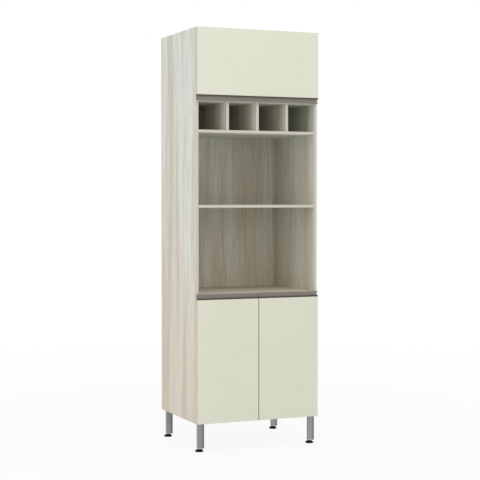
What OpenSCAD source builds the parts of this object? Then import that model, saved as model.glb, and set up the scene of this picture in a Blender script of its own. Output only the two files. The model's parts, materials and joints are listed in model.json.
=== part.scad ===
// Tall kitchen cabinet on four levelling legs: a lift-up flap at the top, four
// bottle cells, an open niche, an oven niche and a cupboard with two doors.
// Millimetres. Z is up from the floor, X runs across the front from left to
// right, and the front faces -Y. The origin is under the middle of the cabinet.

/* [Cabinet] */
// Width over the side panels
cabinet_w = 700; // [600:10:900]
// Depth of the side panels, from their front edges to the back panels
side_d = 535; // [450:5:600]
// Height of the carcass above the floor
leg_h = 150; // [110:5:200]

/* [Boards] */
// Thickness of the carcass boards
board_t = 15; // [15:1:22]
// Thickness of the doors and the flap
door_t = 15; // [15:1:19]
// Thickness of the back panels
back_t = 3; // [2:0.5:5]
// Distance of the back panels' edges from the carcass's outer faces
back_inset = 1; // [0:0.5:4]

/* [Compartments] */
// Clear height of the lower cupboard
lower_clear_h = 650; // [560:5:750]
// Clear height of the oven niche
oven_clear_h = 451.5; // [380:0.5:620]
// Clear height of the open niche
niche_clear_h = 377.5; // [250:0.5:480]
// Clear height of the bottle cells
bottle_clear_h = 146; // [110:0.5:200]
// Clear height of the upper cupboard
upper_clear_h = 355; // [280:0.5:450]
// Height of the loose shelf's underside above the bottom panel
loose_shelf_rise = 305; // [200:5:400]
// Distance of the loose shelf behind the front edges
loose_shelf_setback = 20; // [10:5:60]
// Gap at each end and at the back of the loose shelf
loose_shelf_gap = 1; // [0.5:0.5:3]

/* [Doors] */
// Gap between the doors' back faces and the carcass
door_gap = 3; // [2.5:0.5:4]
// How far the doors' outer edges stay inside the carcass's outer faces
door_reveal = 1; // [0.5:0.5:2]
// Gap between the two lower doors
door_middle_gap = 3.5; // [2:0.5:5]
// Height of the upper floor's front edge that shows below the flap
floor_edge_show = 6; // [4:0.5:12]

/* [Handles] */
// Height of the handle profile
handle_h = 29; // [24:1:40]
// Wall of the handle profile
handle_wall = 1.6; // [1.2:0.1:2.5]
// Height of the box along the panel's edge
handle_box_h = 9; // [7:0.5:11]
// Height of the turned lip along the free edge
handle_lip_h = 5; // [3:0.5:7]
// Thickness of the tongue that holds the profile in the panel's edge
tongue_t = 2.5; // [2:0.5:4]
// Length of the tongue
tongue_l = 8; // [5:1:12]

/* [Cup hinges] */
// Depth of the hinge cups
cup_depth = 11.5; // [10.5:0.5:12]
// Wall of the hinge cups
cup_wall = 1; // [0.6:0.1:1.2]
// Distance of the cup's centre from the door's edge
cup_inset = 22.5; // [21.5:0.5:23.5]
// Thickness of the cup's flange on the door's back face
flange_t = 1; // [0.8:0.1:1.2]
// Distance of the turning axis from the door's edge
axis_inset = 4; // [3:0.5:5]
// Distance of the turning axis in front of the door's back face
axis_depth = 9; // [8:0.5:10]
// Height of the lower doors' hinges from the doors' ends
hinge_end_dist = 100; // [80:5:140]
// Distance of the flap's hinges from the flap's ends
flap_hinge_end_dist = 110; // [90:5:160]

/* [Gas struts] */
// Depth of the struts' cabinet pivot behind the front edges
strut_foot_depth = 195; // [185:5:220]
// Drop of the struts' cabinet pivot below the top panel
strut_foot_drop = 65; // [55:5:90]
// Depth of the struts' flap pivot behind the front edges
strut_head_depth = 12; // [10:1:14]
// Drop of the struts' flap pivot below the top panel
strut_head_drop = 33; // [28:1:38]
// Distance of the struts' middle plane from the side panels
strut_side_dist = 14; // [13:0.5:18]
// Radius of the struts' tubes
strut_tube_r = 9; // [7:0.5:10]
// Radius of the struts' rods
strut_rod_r = 4; // [3:0.5:5]

/* [Legs and feet] */
// Distance of the feet's centres from the outer sides
leg_side_inset = 28; // [24:1:60]
// Distance of the feet's centres from the carcass's front and back
leg_depth_inset = 29; // [24:1:60]
// Width of the square tube of a leg
leg_tube_w = 21; // [20:1:26]
// Wall of a leg
leg_wall = 1.5; // [1:0.25:2.5]
// Length of the leg's side fin
fin_l = 17.6; // [8:0.2:18]
// Angle by which the fin turns back from the front face
fin_angle = 25; // [0:5:45]
// Diameter of a foot
foot_d = 44; // [30:1:46]
// Thickness of a foot's rim
foot_rim_h = 6.5; // [4:0.5:7]
// Height of the plug's collar above the floor
collar_z = 15; // [11.5:0.5:16]
// Thickness of the plug's collar
collar_h = 4; // [2:0.2:5]
// Radius of a foot's threaded stud
stud_r = 4; // [3:0.5:5]

/* [Wall fixing] */
// Height of the rail behind the upper cupboard
rail_h = 80; // [70:5:120]
// Distance between the two wall screws
wall_screw_spacing = 500; // [350:10:540]
// Radius of the wall screws' holes in the steel plates
wall_hole_r = 3.5; // [2.5:0.5:4]

/* [Clearances] */
// Radial clearance of a turning or sliding fit
fit_gap = 0.05; // [0.02:0.01:0.1]
// Clearance round a piece set into a board
set_gap = 0.1; // [0.05:0.05:0.2]

/* [Hidden] */
$fn = 48;

// Depth positions
overall_d = door_t + door_gap + side_d + back_t;
front_y = -overall_d / 2;
door_back_y = front_y + door_t;
carcass_front = door_back_y + door_gap;
side_back = carcass_front + side_d;
back_y = side_back + back_t;

// Width positions
outer_x = cabinet_w / 2;
inner_x = outer_x - board_t;
door_outer_x = outer_x - door_reveal;
door_inner_x = door_middle_gap / 2;
bottle_cells = 4;
cell_w = (2 * inner_x - (bottle_cells - 1) * board_t) / bottle_cells;
divider_pitch = cell_w + board_t;

// Undersides of the fixed boards
bottom_z = leg_h;
bottom_top = bottom_z + board_t;
deck_z = bottom_top + lower_clear_h;
deck_top = deck_z + board_t;
middle_z = deck_top + oven_clear_h;
middle_top = middle_z + board_t;
bottle_z = middle_top + niche_clear_h;
bottle_top = bottle_z + board_t;
floor_z = bottle_top + bottle_clear_h;
floor_top = floor_z + board_t;
top_z = floor_top + upper_clear_h;
cabinet_top = top_z + board_t;
fixed_levels = [bottom_z, deck_z, middle_z, bottle_z, floor_z, top_z];
loose_shelf_z = bottom_top + loose_shelf_rise;

// Door and flap heights
door_bottom_z = bottom_z + door_reveal;
door_panel_top = deck_top - handle_h;
flap_handle_z = floor_z + floor_edge_show;
flap_panel_z = flap_handle_z + handle_h;
flap_top_z = cabinet_top - door_reveal;

// Cam fittings: a disc in the board's underside draws a bolt in from the side
cam_r = 7.5;
cam_h = 12;
cam_bolt_l = 24;
cam_x = inner_x - cam_bolt_l;
cam_end_dist = 90;
cam_y = [carcass_front + cam_end_dist, side_back - cam_end_dist];
cam_bolt_r = 3;
cam_bolt_head_r = 3.5;
cam_bolt_in_side = 10;
cam_bolt_bore_r = 4.2;
cam_slot_w = 2;
cam_slot_depth = 2.5;

// Pan-head screws for the steel fittings
screw_r = 1.75;
screw_l = 10;
screw_hole_r = 2;
screw_head_r = 3.5;
screw_head_h = 1.8;
recess_w = 1;
recess_depth = 0.9;

// Nails of the back panels
nail_r = 0.8;
nail_l = 15;
nail_head_r = 2.5;
nail_head_h = 0.8;
nail_pitch = 150;
back_seam = 0.5;
back_seams = [deck_z + board_t / 2, bottle_z + board_t / 2];
back_bottom_z = bottom_z + back_inset;
back_top_z = cabinet_top - back_inset;
nail_side_x = inner_x + board_t / 2;

// Cup hinges, in a frame of their own: x runs from the carcass panel's inner
// face into the cabinet, y from its front edge to the back, z along the axis
cup_d = 35;
cup_r = cup_d / 2;
cup_bore_r = cup_r - cup_wall;
door_overlay = board_t - door_reveal;
axis_x = -door_overlay + axis_inset;
axis_y = -door_gap - axis_depth;
cup_x = -door_overlay + cup_inset;
flange_r = 19;
ear_shift = 9.5;
ear_z = 22.5;
ear_r = 6;
arm_reach = [29, 2];
arm_pivot = [axis_x, axis_y] + arm_reach;
arm_eye_r = 2.5;
link_pin_r = 1.5;
link_aim_off = [7, 5];
link_aim = [axis_x, axis_y] + link_aim_off;
link_angle = atan2(link_aim[1] - arm_pivot[1], link_aim[0] - arm_pivot[0]);
link_l = 24;
link_t = 1.6;
link_eye_r = 2.2;
link_cheek_t = 1.2;
link_bridge_start = 8;
nose_half_w = 4;
link_half_w = nose_half_w + 0.3 + link_cheek_t;
arm_half_w = 6.5;
arm_wall = 1.2;
arm_top_x = 10;
arm_l = 60;
plate_t = 2.5;
plate_y = 37;
plate_d = 18;
plate_half_h = 25;
plate_screw_z = 16;
adjuster_r = 3.2;
adjuster_h = 0.8;
adjuster_y = [18, 50];
door_hinge_z = [door_bottom_z + hinge_end_dist, door_panel_top - hinge_end_dist];
flap_hinge_x = door_outer_x - flap_hinge_end_dist;

// Gas struts
strut_x = inner_x - strut_side_dist;
strut_foot = [carcass_front + strut_foot_depth, top_z - strut_foot_drop];
strut_head = [carcass_front + strut_head_depth, top_z - strut_head_drop];
strut_run = strut_head - strut_foot;
strut_l = norm(strut_run);
strut_angle = atan2(strut_run[1], strut_run[0]);
strut_eye_r = 7;
strut_eye_half_w = 4;
strut_pin_r = 4;
strut_neck_r = 3.4;
strut_tube_start = 11;
strut_rod_show = 28;
strut_tube_l = strut_l - strut_tube_start - strut_rod_show;
strut_tube_wall = 1.5;
strut_cap = 5;
piston_h = 6;
piston_start = strut_tube_start + strut_cap + piston_h;
side_bracket_t = 2;
side_bracket_half_d = 10;
side_bracket_half_h = 25;
side_bracket_screw_z = 17;
pin_clip_r = 6;
pin_clip_h = 1.5;
pin_clip_gap = 0.3;
lug_gap = 6;
lug_x = strut_x - strut_eye_half_w - lug_gap;
lug_t = 2.5;
lug_half_h = 9;
lug_beyond = 8;
flap_plate_w = 26;
flap_plate_half_h = 22;
flap_plate_screw_z = 15;
open_pivot_gap = 0.4;

// Legs and feet
leg_x = outer_x - leg_side_inset;
leg_front_y = carcass_front + leg_depth_inset;
leg_rear_y = back_y - leg_depth_inset;
leg_plate_t = 2;
leg_plate_w = 46;
leg_screw_off = 17;
leg_top_z = bottom_z - leg_plate_t;
leg_tube_z = collar_z + collar_h;
leg_core_w = leg_tube_w - 2 * leg_wall - 2 * set_gap;
leg_core_h = 20;
fin_t = 2;
foot_r = foot_d / 2;
foot_gap = 0.3;
foot_top_z = collar_z - foot_gap;
foot_neck_r = 11;
stud_z = 3;
stud_l = 43;

// Rail and plates for the wall screws
rail_z = top_z - rail_h;
rail_y = side_back - board_t;
rail_bore_r = 5.2;
wall_plate_w = 40;
wall_plate_h = 60;
wall_plate_t = 2;
wall_plate_screw_z = 22;
wall_screw_z = rail_z + rail_h / 2;

// Rubber bumpers between the doors and the carcass
bumper_r = 5;
bumper_gap = 0.4;
bumper_t = door_gap - bumper_gap;
bumper_x = 30;
flap_bumper_rise = 20;

// Pegs of the loose shelf
peg_r = 2.5;
peg_in_side = 8;
peg_tab_l = 10;
peg_tab_w = 10;
peg_tab_h = 6;
peg_end_dist = 60;
peg_y = [carcass_front + peg_end_dist, side_back - peg_end_dist];

cut = 1;
board_color = "antiquewhite";
door_color = "ivory";
back_color = "wheat";
alloy_color = "darkgray";
steel_color = "silver";
black_color = "dimgray";

// Helpers

module block(low, high) {
    translate(low) cube(high - low);
}

// Copies for the left and the right half
module both_sides() {
    for (side = [0, 1]) mirror([side, 0, 0]) children();
}

// A pan-head screw that stands on z = 0 and points down
module screw() {
    difference() {
        cylinder(r = screw_head_r, h = screw_head_h);
        for (turn = [0, 90]) rotate([0, 0, turn])
            translate([-2, -recess_w / 2, screw_head_h - recess_depth])
                cube([4, recess_w, recess_depth + cut]);
    }
    translate([0, 0, -screw_l]) cylinder(r = screw_r, h = screw_l + 0.01);
}

// A flat steel plate in the XZ plane with screw holes along Z
module screw_plate(w, h, t, hole_z) {
    difference() {
        translate([-w / 2, 0, -h / 2]) cube([w, t, h]);
        for (side = [-1, 1]) translate([0, -cut, side * hole_z])
            rotate([-90, 0, 0]) cylinder(r = screw_hole_r, h = t + 2 * cut);
    }
}

// Moves a hinge from its own frame to the left side panel at a height
module at_side(z) {
    translate([-inner_x, carcass_front, z]) children();
}

// Moves a hinge from its own frame to the top panel at a width
module at_top(x) {
    translate([x, carcass_front, top_z]) rotate([0, 90, 0]) children();
}

module at_left_hinges() {
    for (z = door_hinge_z) at_side(z) children();
}

module at_right_hinges() {
    mirror([1, 0, 0]) at_left_hinges() children();
}

module at_flap_hinges() {
    for (x = [-flap_hinge_x, flap_hinge_x]) at_top(x) children();
}

// Carcass boards

// Bores for the cams and their bolts in a fixed board
module cam_bores(z) {
    for (side = [-1, 1], y = cam_y) {
        translate([side * cam_x, y, z - cut])
            cylinder(r = cam_r + set_gap, h = cam_h + set_gap + cut);
        translate([side * cam_x, y, z + board_t / 2]) rotate([0, side * 90, 0])
            cylinder(r = cam_bolt_bore_r, h = cam_bolt_l + cut);
    }
}

module fixed_board(z) {
    difference() {
        block([-inner_x, carcass_front, z], [inner_x, side_back, z + board_t]);
        cam_bores(z);
    }
}

module peg_bores() {
    for (y = peg_y)
        translate([-inner_x + cut, y, loose_shelf_z - peg_tab_h / 2]) rotate([0, -90, 0])
            cylinder(r = peg_r + fit_gap, h = peg_in_side + set_gap + cut);
}

module side_panel() {
    difference() {
        block([-outer_x, carcass_front, bottom_z], [-inner_x, side_back, cabinet_top]);
        peg_bores();
    }
}

module left_side_panel() {
    color(board_color) side_panel();
}

module right_side_panel() {
    color(board_color) mirror([1, 0, 0]) side_panel();
}

module top_panel() {
    color(board_color) fixed_board(top_z);
}

module bottom_panel() {
    color(board_color) fixed_board(bottom_z);
}

module upper_floor() {
    color(board_color) fixed_board(floor_z);
}

module bottle_shelf() {
    color(board_color) fixed_board(bottle_z);
}

module middle_shelf() {
    color(board_color) fixed_board(middle_z);
}

module oven_deck() {
    color(board_color) fixed_board(deck_z);
}

// An upright between two bottle cells; place is -1, 0 or 1
module bottle_divider(place) {
    x = place * divider_pitch;
    color(board_color)
        block([x - board_t / 2, carcass_front, bottle_top], [x + board_t / 2, side_back, floor_z]);
}

module loose_shelf() {
    color(board_color)
        block([-inner_x + loose_shelf_gap, carcass_front + loose_shelf_setback, loose_shelf_z],
              [inner_x - loose_shelf_gap, side_back - loose_shelf_gap, loose_shelf_z + board_t]);
}

module back_panel(z_low, z_high) {
    color(back_color)
        block([-outer_x + back_inset, side_back, z_low], [outer_x - back_inset, back_y, z_high]);
}

module upper_back_panel() {
    difference() {
        back_panel(back_seams[1] + back_seam / 2, back_top_z);
        wall_bores(rail_bore_r);
    }
}

module niche_back_panel() {
    back_panel(back_seams[0] + back_seam / 2, back_seams[1] - back_seam / 2);
}

module lower_back_panel() {
    back_panel(back_bottom_z, back_seams[0] - back_seam / 2);
}

// Holes for the two wall screws, through the rail and what lies on it
module wall_bores(r) {
    for (side = [-1, 1])
        translate([side * wall_screw_spacing / 2, rail_y - wall_plate_t - cut, wall_screw_z])
            rotate([-90, 0, 0]) cylinder(r = r, h = back_y - rail_y + wall_plate_t + 2 * cut);
}

module rear_rail() {
    color(board_color) difference() {
        block([-inner_x, rail_y, rail_z], [inner_x, side_back, top_z]);
        wall_bores(rail_bore_r);
    }
}

module wall_plates() {
    color(steel_color) difference() {
        for (side = [-1, 1])
            translate([side * wall_screw_spacing / 2, rail_y - wall_plate_t, wall_screw_z])
                screw_plate(wall_plate_w, wall_plate_h, wall_plate_t, wall_plate_screw_z);
        wall_bores(wall_hole_r);
    }
}

// Fittings of the carcass

// A slotted disc, open towards the side panel for the bolt's head
module cam_lock() {
    difference() {
        cylinder(r = cam_r, h = cam_h);
        translate([-1, 0, board_t / 2]) rotate([0, 90, 0]) cylinder(r = cam_bolt_bore_r, h = cam_r + 2);
        for (turn = [0, 90]) rotate([0, 0, turn])
            translate([-cam_r * 0.7, -cam_slot_w / 2, -cut])
                cube([cam_r * 1.4, cam_slot_w, cam_slot_depth + cut]);
    }
}

module cam_locks() {
    color(steel_color) both_sides() for (z = fixed_levels, y = cam_y)
        translate([cam_x, y, z]) cam_lock();
}

// A bolt screwed into the side panel, with its head in the cam
module cam_bolt() {
    head_l = 3;
    rotate([0, 90, 0]) cylinder(r = cam_bolt_r, h = cam_bolt_l + cam_bolt_in_side);
    rotate([0, 90, 0]) cylinder(r = cam_bolt_head_r, h = head_l);
}

module cam_bolts() {
    color(steel_color) both_sides() for (z = fixed_levels, y = cam_y)
        translate([cam_x, y, z + board_t / 2]) cam_bolt();
}

module shelf_pegs() {
    color(steel_color) both_sides() for (y = peg_y)
        translate([-inner_x, y, loose_shelf_z - peg_tab_h]) {
            translate([0, -peg_tab_w / 2, 0]) cube([peg_tab_l, peg_tab_w, peg_tab_h]);
            translate([0.01, 0, peg_tab_h / 2]) rotate([0, -90, 0])
                cylinder(r = peg_r, h = peg_in_side);
        }
}

module bumper() {
    rotate([90, 0, 0]) cylinder(r = bumper_r, h = bumper_t);
}

module door_bumpers() {
    color("gainsboro") both_sides() {
        for (z = [bottom_z + board_t / 2, deck_z + board_t / 2])
            translate([bumper_x, carcass_front, z]) bumper();
        translate([inner_x + board_t / 2, carcass_front, flap_panel_z + flap_bumper_rise]) bumper();
    }
}

module plate_screws() {
    for (side = [-1, 1]) translate([plate_t, plate_y, side * plate_screw_z])
        rotate([0, 90, 0]) screw();
}

module side_bracket_screws() {
    for (side = [-1, 1])
        translate([-inner_x + side_bracket_t, strut_foot[0], strut_foot[1] + side * side_bracket_screw_z])
            rotate([0, 90, 0]) screw();
}

module wall_plate_screws() {
    for (dz = [-wall_plate_screw_z, wall_plate_screw_z])
        translate([wall_screw_spacing / 2, rail_y - wall_plate_t, wall_screw_z + dz])
            rotate([90, 0, 0]) screw();
}

module leg_screws() {
    for (dx = [-1, 1], dy = [-1, 1])
        translate([dx * leg_screw_off, dy * leg_screw_off, leg_top_z]) rotate([180, 0, 0]) screw();
}

module at_legs() {
    for (side = [-1, 1], y = [leg_front_y, leg_rear_y]) translate([side * leg_x, y, 0]) children();
}

module carcass_screws() {
    color(steel_color) {
        at_left_hinges() plate_screws();
        at_right_hinges() plate_screws();
        at_flap_hinges() plate_screws();
        both_sides() side_bracket_screws();
        both_sides() wall_plate_screws();
        at_legs() leg_screws();
    }
}

module nail() {
    translate([0, back_y, 0]) rotate([90, 0, 0]) {
        cylinder(r = nail_r, h = nail_l);
        cylinder(r = nail_head_r, h = nail_head_h);
    }
}

// A row of nails from one point of the back to another
module nail_row(from, to) {
    steps = ceil(norm(to - from) / nail_pitch);
    for (i = [0 : steps]) translate(from + (to - from) * i / steps) nail();
}

module back_panel_nails() {
    end_dist = 50;
    row_x = inner_x - end_dist;
    seam_off = board_t / 4;
    sheet_edges = [back_bottom_z, back_seams[0], back_seams[1], back_top_z];
    color(steel_color) {
        both_sides() for (i = [0 : 2])
            nail_row([nail_side_x, 0, sheet_edges[i] + end_dist],
                     [nail_side_x, 0, sheet_edges[i + 1] - end_dist]);
        for (z = [bottom_z + board_t / 2, back_seams[0] - seam_off, back_seams[0] + seam_off,
                  back_seams[1] - seam_off, back_seams[1] + seam_off, top_z + board_t / 2])
            nail_row([-row_x, 0, z], [row_x, 0, z]);
    }
}

// Legs and feet

module leg_plate() {
    difference() {
        translate([-leg_plate_w / 2, -leg_plate_w / 2, leg_top_z])
            cube([leg_plate_w, leg_plate_w, leg_plate_t]);
        for (dx = [-1, 1], dy = [-1, 1])
            translate([dx * leg_screw_off, dy * leg_screw_off, leg_top_z - cut])
                cylinder(r = screw_hole_r, h = leg_plate_t + 2 * cut);
    }
    translate([-leg_core_w / 2, -leg_core_w / 2, leg_top_z - leg_core_h])
        cube([leg_core_w, leg_core_w, leg_core_h + 0.01]);
}

module leg_plates() {
    color(steel_color) at_legs() leg_plate();
}

// The fin's outline, from the tube's front right corner back along its angle
module fin_outline() {
    half = leg_tube_w / 2;
    along = [cos(fin_angle), sin(fin_angle)];
    across = [-sin(fin_angle), cos(fin_angle)];
    corner = [half, -half];
    tip = corner + fin_l * along;
    polygon([corner, tip, tip + fin_t * across, corner + [0, fin_t / cos(fin_angle)]]);
    translate(tip + fin_t / 2 * across) circle(r = fin_t / 2);
}

module leg() {
    inner_w = leg_tube_w - 2 * leg_wall;
    translate([0, 0, leg_tube_z]) linear_extrude(leg_top_z - leg_tube_z) difference() {
        square(leg_tube_w, center = true);
        square(inner_w, center = true);
    }
    translate([0, 0, collar_z]) linear_extrude(leg_top_z - collar_z) fin_outline();
}

module placed_leg(side, y) {
    color(alloy_color) translate([side * leg_x, y, 0]) leg();
}

module leg_plug() {
    difference() {
        union() {
            translate([-leg_tube_w / 2, -leg_tube_w / 2, collar_z])
                cube([leg_tube_w, leg_tube_w, collar_h]);
            translate([-leg_core_w / 2, -leg_core_w / 2, leg_tube_z - 0.01])
                cube([leg_core_w, leg_core_w, leg_core_h]);
        }
        translate([0, 0, collar_z - cut])
            cylinder(r = stud_r + fit_gap, h = collar_h + leg_core_h + 2 * cut);
    }
}

module leg_plugs() {
    color("lightgray") at_legs() leg_plug();
}

module foot_stud(side, y) {
    color(steel_color) translate([side * leg_x, y, stud_z]) cylinder(r = stud_r, h = stud_l);
}

// A round foot with a low cone up to its neck and a blind hole for the stud
module foot(side, y) {
    hole_r = stud_r + fit_gap;
    color(black_color) translate([side * leg_x, y, 0]) rotate_extrude() polygon([
        [0, 0], [foot_r - 1, 0], [foot_r, 1], [foot_r, foot_rim_h - 1],
        [foot_r - 1.5, foot_rim_h], [foot_neck_r + 1, foot_top_z - 1],
        [foot_neck_r, foot_top_z], [hole_r, foot_top_z], [hole_r, stud_z], [0, stud_z]
    ]);
}

// Handles, drawn as an outline: x is the depth from the front face, y the
// height above the panel's edge
module handle_outline() {
    wall = handle_wall;
    difference() {
        union() {
            square([door_t, handle_box_h]);
            translate([door_t - wall, 0]) square([wall, handle_h]);
            translate([0, handle_h - wall]) square([door_t, wall]);
            translate([0, handle_h - handle_lip_h]) square([wall, handle_lip_h]);
            translate([door_t / 2 - tongue_t / 2, -tongue_l]) square([tongue_t, tongue_l + wall]);
        }
        translate([wall, wall]) square([door_t - 2 * wall, handle_box_h - 2 * wall]);
    }
}

module handle(x_low, x_high) {
    translate([x_low, front_y, 0]) rotate([90, 0, 90]) linear_extrude(x_high - x_low) handle_outline();
}

// The groove in a panel's edge for the handle's tongue
module tongue_groove(x_low, x_high) {
    mid_y = front_y + door_t / 2;
    half = tongue_t / 2 + set_gap;
    block([x_low - cut, mid_y - half, -tongue_l - set_gap], [x_high + cut, mid_y + half, cut]);
}

// Cup hinges

module hinge_cup() {
    translate([cup_x, -door_gap, 0]) difference() {
        union() {
            rotate([90, 0, 0]) cylinder(r = cup_r, h = cup_depth);
            translate([0, flange_t, 0]) rotate([90, 0, 0]) {
                cylinder(r = flange_r, h = flange_t);
                translate([ear_shift, 0, 0]) {
                    for (side = [-1, 1]) translate([0, side * ear_z, 0])
                        cylinder(r = ear_r, h = flange_t);
                    translate([-ear_r, -ear_z, 0]) cube([2 * ear_r, 2 * ear_z, flange_t]);
                }
            }
        }
        translate([0, flange_t + cut, 0]) rotate([90, 0, 0])
            cylinder(r = cup_bore_r, h = cup_depth - cup_wall + flange_t + cut);
        for (side = [-1, 1]) translate([ear_shift, flange_t + cut, side * ear_z]) rotate([90, 0, 0])
            cylinder(r = screw_hole_r, h = flange_t + 2 * cut - 0.5);
    }
}

// The blind hole for a cup in a door
module cup_bore() {
    translate([cup_x, -door_gap + cut, 0]) rotate([90, 0, 0])
        cylinder(r = cup_r + set_gap, h = cup_depth + set_gap + cut);
}

module cup_screws() {
    for (side = [-1, 1]) translate([cup_x + ear_shift, -door_gap + flange_t, side * ear_z])
        rotate([-90, 0, 0]) screw();
}

// The arm's outline in front of its channel, down to the pivot in the cup
module nose_outline() {
    polygon([
        [plate_t + 0.5, 6], [plate_t + 0.5, -0.5], arm_pivot + [-1.6, -1.9],
        arm_pivot + [1.9, 1.6], [arm_top_x, 6]
    ]);
    translate(arm_pivot) circle(r = arm_eye_r);
}

module hinge_arm() {
    difference() {
        union() {
            translate([0, plate_y - plate_d / 2, -plate_half_h])
                cube([plate_t, plate_d, 2 * plate_half_h]);
            difference() {
                translate([plate_t, 0, -arm_half_w]) cube([arm_top_x - plate_t, arm_l, 2 * arm_half_w]);
                translate([plate_t - cut, 6, -arm_half_w + arm_wall])
                    cube([arm_top_x - plate_t - arm_wall + cut, arm_l, 2 * (arm_half_w - arm_wall)]);
            }
            translate([0, 0, -nose_half_w]) linear_extrude(2 * nose_half_w) nose_outline();
            for (y = adjuster_y) translate([arm_top_x - arm_wall, y, 0]) rotate([0, 90, 0])
                cylinder(r = adjuster_r, h = arm_wall + adjuster_h);
        }
        for (side = [-1, 1]) translate([-cut, plate_y, side * plate_screw_z]) rotate([0, 90, 0])
            cylinder(r = screw_hole_r, h = plate_t + 2 * cut);
        translate([arm_pivot[0], arm_pivot[1], -nose_half_w - cut])
            cylinder(r = link_pin_r + fit_gap, h = 2 * (nose_half_w + cut));
        for (y = adjuster_y, turn = [0, 90])
            translate([arm_top_x + adjuster_h - recess_depth + 0.3, y, 0]) rotate([turn, 0, 0])
                translate([0, -2, -recess_w / 2]) cube([cut, 4, recess_w]);
    }
}

module hinge_arms() {
    color(steel_color) {
        at_left_hinges() hinge_arm();
        at_right_hinges() hinge_arm();
        at_flap_hinges() hinge_arm();
    }
}

// A stamped link that turns on the arm and reaches into the cup
module hinge_link() {
    translate([arm_pivot[0], arm_pivot[1], 0]) rotate([0, 0, link_angle]) {
        translate([0, 0, -link_half_w]) cylinder(r = link_pin_r, h = 2 * link_half_w);
        for (z = [-link_half_w, link_half_w - link_cheek_t]) translate([0, 0, z]) {
            cylinder(r = link_eye_r, h = link_cheek_t);
            translate([0, -link_t / 2, 0]) cube([link_l, link_t, link_cheek_t]);
        }
        translate([link_bridge_start, -link_t / 2, -link_half_w])
            cube([link_l - link_bridge_start, link_t, 2 * link_half_w]);
    }
}

module flap_hinge_links() {
    color(steel_color) at_flap_hinges() hinge_link();
}

module left_door_hinge_links() {
    color(steel_color) at_left_hinges() hinge_link();
}

module right_door_hinge_links() {
    color(steel_color) at_right_hinges() hinge_link();
}

// Lower doors

module left_panel_shape() {
    difference() {
        block([-door_outer_x, front_y, door_bottom_z], [-door_inner_x, door_back_y, door_panel_top]);
        at_left_hinges() cup_bore();
        translate([0, 0, door_panel_top]) tongue_groove(-door_outer_x, -door_inner_x);
    }
}

module left_handle_shape() {
    translate([0, 0, door_panel_top]) handle(-door_outer_x, -door_inner_x);
}

module left_door_panel() {
    color(door_color) left_panel_shape();
}

module right_door_panel() {
    color(door_color) mirror([1, 0, 0]) left_panel_shape();
}

module left_door_handle() {
    color(alloy_color) left_handle_shape();
}

module right_door_handle() {
    color(alloy_color) mirror([1, 0, 0]) left_handle_shape();
}

module left_door_hinge_cups() {
    color(steel_color) at_left_hinges() hinge_cup();
}

module right_door_hinge_cups() {
    color(steel_color) at_right_hinges() hinge_cup();
}

module left_door_screws() {
    color(steel_color) at_left_hinges() cup_screws();
}

module right_door_screws() {
    color(steel_color) at_right_hinges() cup_screws();
}

// Flap

module flap_panel() {
    color(door_color) difference() {
        block([-door_outer_x, front_y, flap_panel_z], [door_outer_x, door_back_y, flap_top_z]);
        at_flap_hinges() cup_bore();
        translate([0, 0, flap_panel_z]) mirror([0, 0, 1]) tongue_groove(-door_outer_x, door_outer_x);
    }
}

module flap_handle() {
    color(alloy_color)
        translate([0, 0, flap_panel_z]) mirror([0, 0, 1]) handle(-door_outer_x, door_outer_x);
}

module flap_hinge_cups() {
    color(steel_color) at_flap_hinges() hinge_cup();
}

// A steel angle on the flap with the stud that the rod's end lies against
module flap_strut_bracket() {
    plate_low_x = lug_x - flap_plate_w;
    plate_y_top = door_back_y + side_bracket_t;
    lug_y = strut_head[0] + lug_beyond;
    stud_end_x = strut_x - strut_eye_half_w - open_pivot_gap;
    difference() {
        block([plate_low_x, door_back_y, strut_head[1] - flap_plate_half_h],
              [lug_x, plate_y_top, strut_head[1] + flap_plate_half_h]);
        for (dz = [-flap_plate_screw_z, flap_plate_screw_z])
            translate([plate_low_x + flap_plate_w / 2, door_back_y - cut, strut_head[1] + dz])
                rotate([-90, 0, 0]) cylinder(r = screw_hole_r, h = side_bracket_t + 2 * cut);
    }
    block([lug_x - lug_t, door_back_y, strut_head[1] - lug_half_h],
          [lug_x, lug_y, strut_head[1] + lug_half_h]);
    translate([lug_x - 0.01, strut_head[0], strut_head[1]]) rotate([0, 90, 0])
        cylinder(r = strut_pin_r, h = stud_end_x - lug_x);
}

module flap_strut_brackets() {
    color(steel_color) both_sides() flap_strut_bracket();
}

module flap_bracket_screws() {
    for (side = [-1, 1])
        translate([lug_x - flap_plate_w / 2, door_back_y + side_bracket_t,
                   strut_head[1] + side * flap_plate_screw_z])
            rotate([-90, 0, 0]) screw();
}

module flap_screws() {
    color(steel_color) {
        at_flap_hinges() cup_screws();
        both_sides() flap_bracket_screws();
    }
}

// Gas struts

// The plate on the side panel with the pin that carries the strut's tube
module strut_side_bracket() {
    pin_end = strut_side_dist + strut_eye_half_w + pin_clip_gap;
    collar_end = strut_side_dist - strut_eye_half_w - pin_clip_gap;
    translate([-inner_x, strut_foot[0], strut_foot[1]]) {
        rotate([0, 0, -90]) screw_plate(2 * side_bracket_half_d, 2 * side_bracket_half_h,
                                        side_bracket_t, side_bracket_screw_z);
        rotate([0, 90, 0]) {
            cylinder(r = pin_clip_r, h = collar_end);
            cylinder(r = strut_pin_r, h = pin_end + pin_clip_h);
            translate([0, 0, pin_end]) cylinder(r = pin_clip_r, h = pin_clip_h);
        }
    }
}

module strut_side_brackets() {
    color(steel_color) both_sides() strut_side_bracket();
}

// Moves a strut from its own frame, where it points up, to its side
module at_strut(side) {
    translate([side * strut_x, strut_foot[0], strut_foot[1]])
        rotate([strut_angle - 90, 0, 0]) children();
}

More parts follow.
